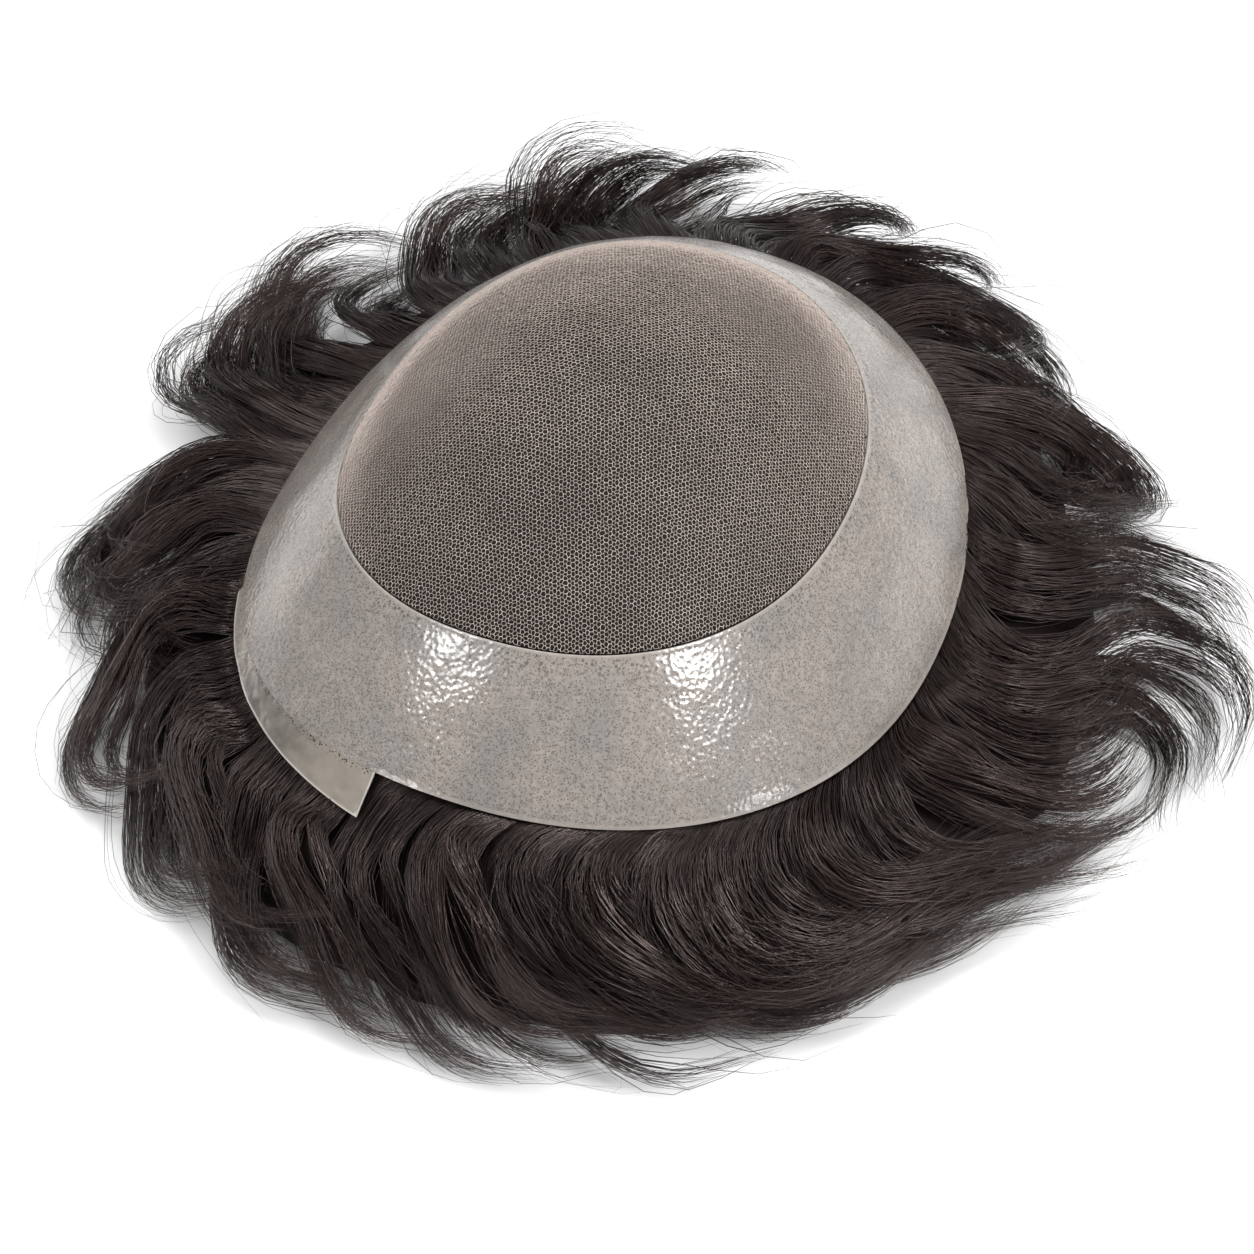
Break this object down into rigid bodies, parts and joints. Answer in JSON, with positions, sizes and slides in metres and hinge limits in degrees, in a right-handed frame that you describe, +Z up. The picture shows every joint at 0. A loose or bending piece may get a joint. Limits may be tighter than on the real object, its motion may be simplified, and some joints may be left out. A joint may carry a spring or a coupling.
{
  "type": "toupee hairpiece",
  "caption": "Toupee lying scalp side up: a domed lace net framed by a translucent skin band with a clear front strip, over a spreading ring of dark wavy hair",
  "frame": {"origin": "middle of the whole footprint, on the surface that the hair lies on", "axes": "+Z up through the crown of the base, scalp side up; -Y the forehead end with the clear strip; +X to the right seen from the forehead end"},
  "size_m": [0.2784, 0.2774, 0.0855],
  "materials": {
    "lace_net": "fine hexagonal greige lace over dark hair",
    "poly_skin": "thin translucent film, wet shine, mottled beige and grey with dark hair roots",
    "clear_film": "clear beige film, smooth, slightly creased",
    "dark_hair": "wavy black-brown hair with a soft shine"
  },
  "bodies": {
    "root": {"net_centre": "lace_net", "skin_band": "poly_skin", "clear_tab": "clear_film", "hair": "dark_hair"}
  },
  "joints": []
}
